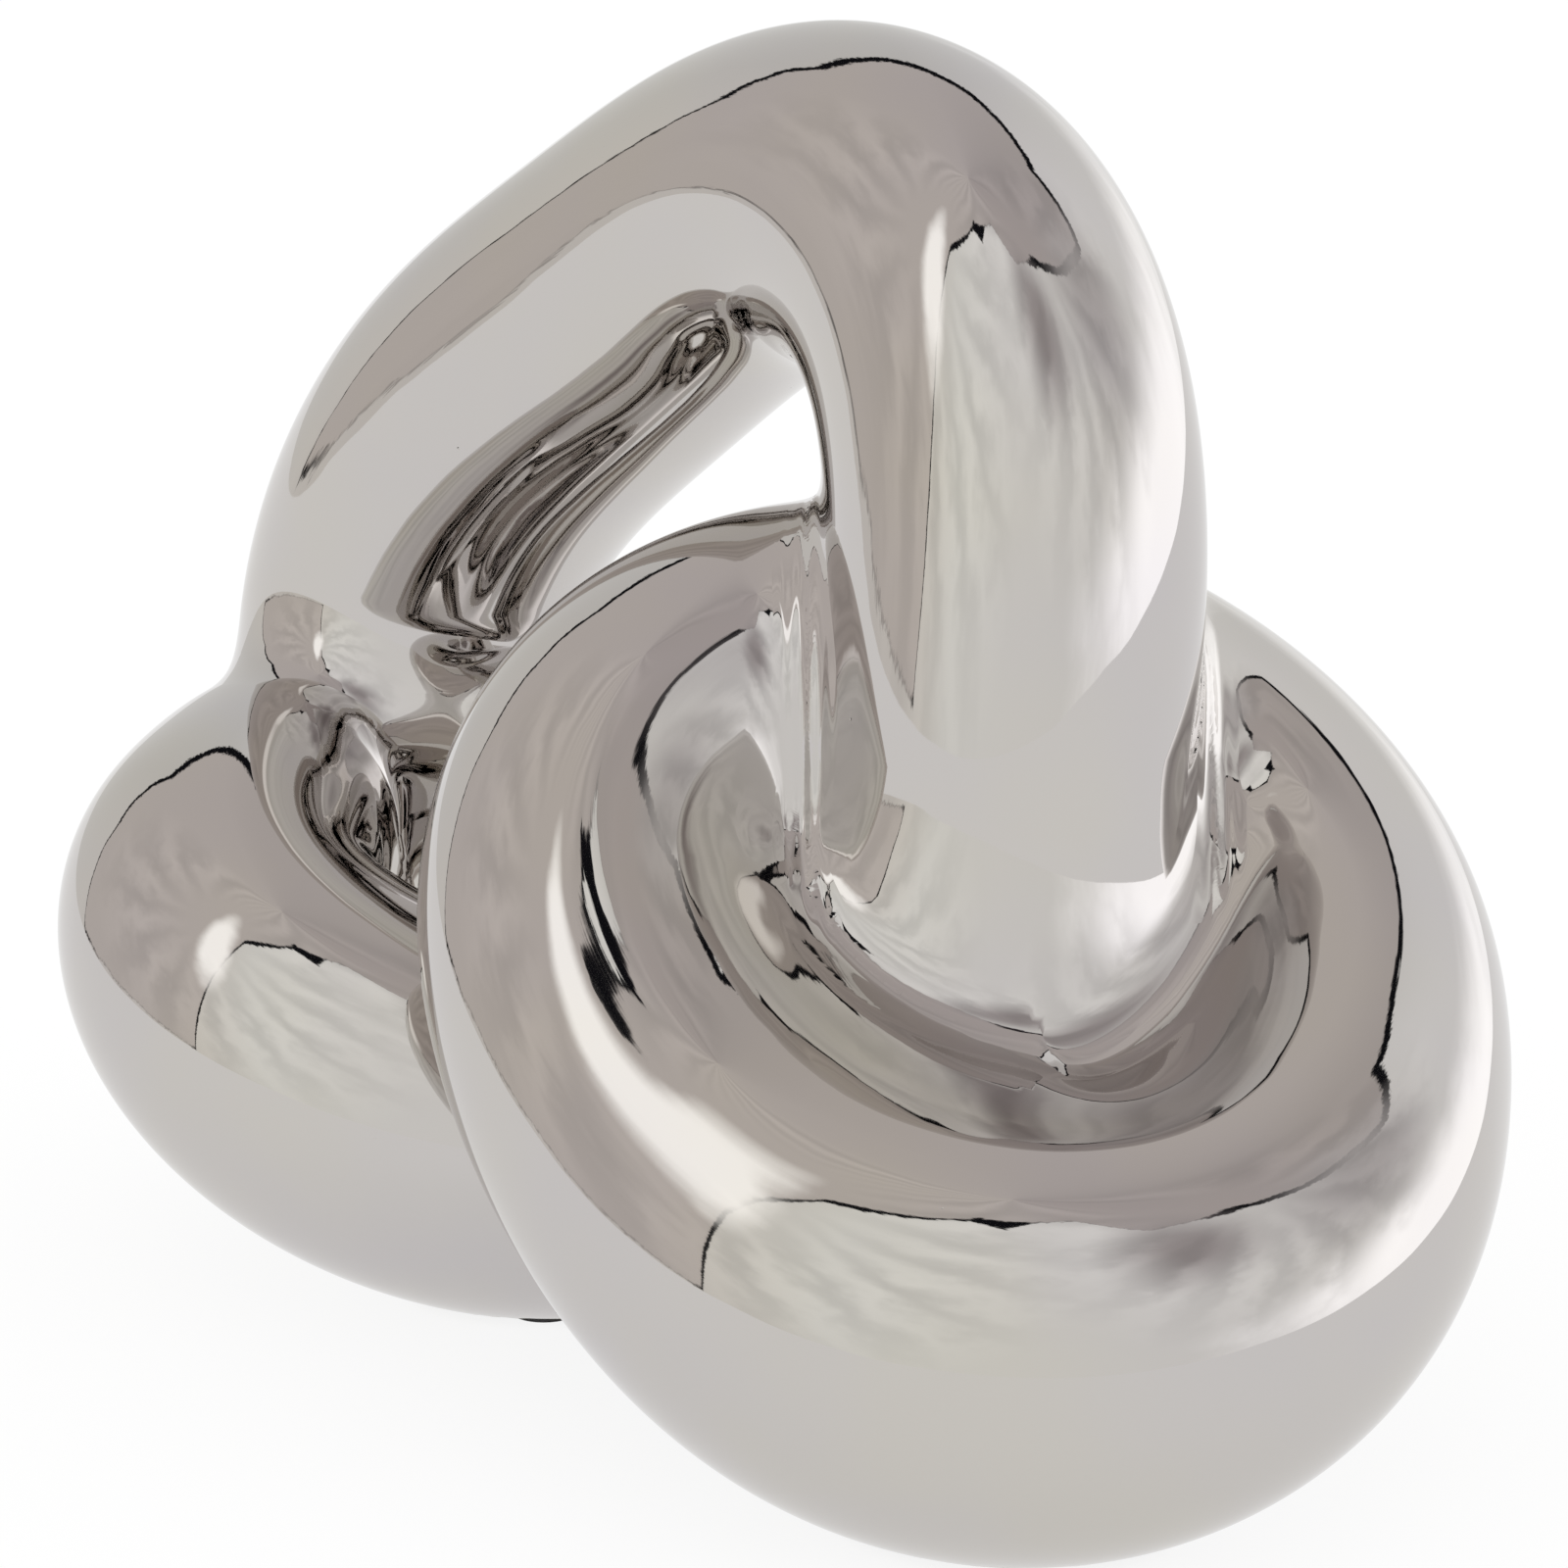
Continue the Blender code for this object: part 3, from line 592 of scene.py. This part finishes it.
# A ramp holds these degrees as a share of the most that they can be.
HIGHEST_EDGE = 90.0
WIDEST_TRIM = 5.0
# The opening's edge sags and frays by so many degrees, and is so soft. The noise is finer for the fraying.
SAG = 3.0
SAG_SCALE = 7.0
FRAY = 2.4
FRAY_SCALE = 85.0
OPENING_SOFTNESS = 0.7
TRIM_SOFTNESS = 0.5
# Each lamp or flag: its middle and half size, round and up, the softness of its edge, and its brightness.
PATCHES = (((-56, 50), (6.5, 17), 0.4, (1.45, 1.45, 1.42, 1)),
           ((104, 3), (50, 15), 0.6, (1.6, 1.61, 1.63, 1)),
           ((37, 55), (15, 15), 0.8, (0.42, 0.39, 0.39, 1)),
           ((88, 44), (20, 16), 0.8, (0.55, 0.53, 0.53, 1)))
PATCH_UNEVENNESS = 0.5
# Each pleated cloth: the point that its pleats spread from, and how far they reach.
FANS = (((-60, 60), 75), ((62, 72), 75))
PLEATS = 17.0
PLEAT_CURL = 7.0
PLEAT_DEPTH = 0.11


def round_the_tent(rows, most=1.0):
    """Ramp stops from rows of degrees round and a tint, or a number that is given as a share of the most."""
    return [((degrees + 180) / 360, linear(level) if isinstance(level, str) else (level / most,) * 3 + (1.0,))
            for degrees, level in rows]


world = bpy.data.worlds.new("photo tent")
world.use_nodes = True
bpy.context.scene.world = world
tent = world.node_tree
way = add_node(tent, "ShaderNodeTexCoord").outputs["Generated"]
parts = add_node(tent, "ShaderNodeSeparateXYZ", {"Vector": way}).outputs
toward_camera = add_node(tent, "ShaderNodeMath", {0: parts["Y"], 1: -1.0}, operation="MULTIPLY")
round_angle = add_node(tent, "ShaderNodeMath", {0: parts["X"], 1: toward_camera}, operation="ARCTAN2")
turn = add_node(tent, "ShaderNodeMath", {0: round_angle, 1: 0.5 / math.pi, 2: 0.5}, operation="MULTIPLY_ADD")
degrees_round = add_node(tent, "ShaderNodeMath", {0: round_angle, 1: 180 / math.pi}, operation="MULTIPLY")
up_angle = add_node(tent, "ShaderNodeMath", {0: parts["Z"]}, operation="ARCSINE")
up = add_node(tent, "ShaderNodeMath", {0: up_angle, 1: 180 / math.pi}, operation="MULTIPLY")
sag = add_node(tent, "ShaderNodeTexNoise", {"Vector": way, "Scale": SAG_SCALE, "Detail": 4.0})
fray = add_node(tent, "ShaderNodeTexNoise", {"Vector": way, "Scale": FRAY_SCALE, "Detail": 2.0})

# The opening lies above its edge, and the trim runs just under it.
edge_ramp = add_node(tent, "ShaderNodeValToRGB", {"Fac": turn},
                     stops=round_the_tent(OPENING_EDGE, HIGHEST_EDGE))
edge = add_node(tent, "ShaderNodeMath", {0: edge_ramp, 1: HIGHEST_EDGE, 2: -(SAG + FRAY) / 2},
                operation="MULTIPLY_ADD")
edge = add_node(tent, "ShaderNodeMath", {0: sag, 1: SAG, 2: edge}, operation="MULTIPLY_ADD")
edge = add_node(tent, "ShaderNodeMath", {0: fray, 1: FRAY, 2: edge}, operation="MULTIPLY_ADD")
above = add_node(tent, "ShaderNodeMath", {0: up, 1: edge}, operation="SUBTRACT")
opening = add_node(tent, "ShaderNodeMapRange", {
    "Value": above, "From Min": 0.0, "From Max": OPENING_SOFTNESS})
trim_ramp = add_node(tent, "ShaderNodeValToRGB", {"Fac": turn}, stops=round_the_tent(TRIM_WIDTH, WIDEST_TRIM))
over_trim = add_node(tent, "ShaderNodeMath", {0: trim_ramp, 1: WIDEST_TRIM, 2: above},
                     operation="MULTIPLY_ADD")
trim = add_node(tent, "ShaderNodeMapRange", {"Value": over_trim, "From Min": 0.0, "From Max": TRIM_SOFTNESS})
wall = add_node(tent, "ShaderNodeValToRGB", {"Fac": turn}, stops=round_the_tent(WALL_TINTS))
roof = add_node(tent, "ShaderNodeValToRGB", {"Fac": turn}, stops=round_the_tent(OPENING_TINTS))
trimmed = add_node(tent, "ShaderNodeMix", {0: trim, 6: wall, 7: linear("#141418")}, data_type="RGBA")
cloth = add_node(tent, "ShaderNodeMix", {0: opening, 6: trimmed.outputs[2], 7: roof},
                 data_type="RGBA").outputs[2]

# Lamps and flags stand before the cloth.
for (across, high), (half_across, half_high), soft, light in PATCHES:
    centred = add_node(tent, "ShaderNodeCombineXYZ", {
        "X": add_node(tent, "ShaderNodeMath", {0: degrees_round, 1: across}, operation="SUBTRACT"),
        "Y": add_node(tent, "ShaderNodeMath", {0: up, 1: high}, operation="SUBTRACT")})
    scaled = add_node(tent, "ShaderNodeVectorMath", {0: centred, 1: (1 / half_across, 1 / half_high, 0)},
                      operation="MULTIPLY")
    uneven = add_node(tent, "ShaderNodeMath", {0: sag, 1: PATCH_UNEVENNESS, 2: -PATCH_UNEVENNESS / 2},
                      operation="MULTIPLY_ADD")
    off = add_node(tent, "ShaderNodeVectorMath", {0: scaled}, operation="LENGTH").outputs["Value"]
    off = add_node(tent, "ShaderNodeMath", {0: off, 1: uneven}, operation="ADD")
    within = add_node(tent, "ShaderNodeMapRange", {
        "Value": off, "From Min": 1 - soft, "From Max": 1 + soft, "To Min": 1.0, "To Max": 0.0},
        interpolation_type="SMOOTHSTEP")
    cloth = add_node(tent, "ShaderNodeMix", {0: within, 6: cloth, 7: light}, data_type="RGBA").outputs[2]

# The pleats make the cloth lighter and darker in turn, and fade out near their point and at their reach.
pleats = 1.0
for (across, high), reach in FANS:
    right = add_node(tent, "ShaderNodeMath", {0: degrees_round, 1: across}, operation="SUBTRACT")
    over = add_node(tent, "ShaderNodeMath", {0: up, 1: high}, operation="SUBTRACT")
    spread = add_node(tent, "ShaderNodeMath", {0: over, 1: right}, operation="ARCTAN2")
    curl = add_node(tent, "ShaderNodeMath", {0: sag, 1: PLEAT_CURL}, operation="MULTIPLY")
    fold = add_node(tent, "ShaderNodeMath", {0: spread, 1: PLEATS, 2: curl}, operation="MULTIPLY_ADD")
    ripple = add_node(tent, "ShaderNodeMath", {0: fold}, operation="SINE")
    away = add_node(tent, "ShaderNodeCombineXYZ", {"X": right, "Y": over})
    off = add_node(tent, "ShaderNodeVectorMath", {0: away}, operation="LENGTH").outputs["Value"]
    share = add_node(tent, "ShaderNodeMath", {0: off, 1: reach}, operation="DIVIDE")
    fade = add_node(tent, "ShaderNodeValToRGB", {"Fac": share}, stops=(
        (0.2, (0, 0, 0, 1)), (0.55, (1, 1, 1, 1)), (1.0, (0, 0, 0, 1))))
    depth = add_node(tent, "ShaderNodeMath", {0: fade, 1: PLEAT_DEPTH}, operation="MULTIPLY")
    pleats = add_node(tent, "ShaderNodeMath", {0: ripple, 1: depth, 2: pleats}, operation="MULTIPLY_ADD")
hung = add_node(tent, "ShaderNodeVectorMath", {0: cloth, "Scale": pleats}, operation="SCALE")
in_mirror = add_node(tent, "ShaderNodeLightPath").outputs["Is Glossy Ray"]
mirrored = add_node(tent, "ShaderNodeMix", {0: in_mirror, 6: (1, 1, 1, 1), 7: hung}, data_type="RGBA")
tent.links.new(mirrored.outputs[2], tent.nodes["Background"].inputs["Color"])

# The camera
# It stands a little over a metre away and looks down at the photo's angle, with a long lens. Its aim is
# a point inside the sculpture that puts all of it in the frame.
CAMERA_HEIGHT_ANGLE = math.radians(16.45)
CAMERA_DISTANCE = 1150 * MM
CAMERA_AIM = (3.8 * MM, 25.7 * MM, 81.0 * MM)
LENS_MM = 166.5

camera_data = bpy.data.cameras.new("camera")
camera_data.lens = LENS_MM
camera = bpy.data.objects.new("camera", camera_data)
camera.location = (CAMERA_AIM[0], CAMERA_AIM[1] - CAMERA_DISTANCE * math.cos(CAMERA_HEIGHT_ANGLE),
                   CAMERA_AIM[2] + CAMERA_DISTANCE * math.sin(CAMERA_HEIGHT_ANGLE))
camera.rotation_euler = (math.pi / 2 - CAMERA_HEIGHT_ANGLE, 0, 0)
bpy.context.scene.collection.objects.link(camera)
bpy.context.scene.camera = camera
bpy.context.scene.view_settings.view_transform = "Standard"
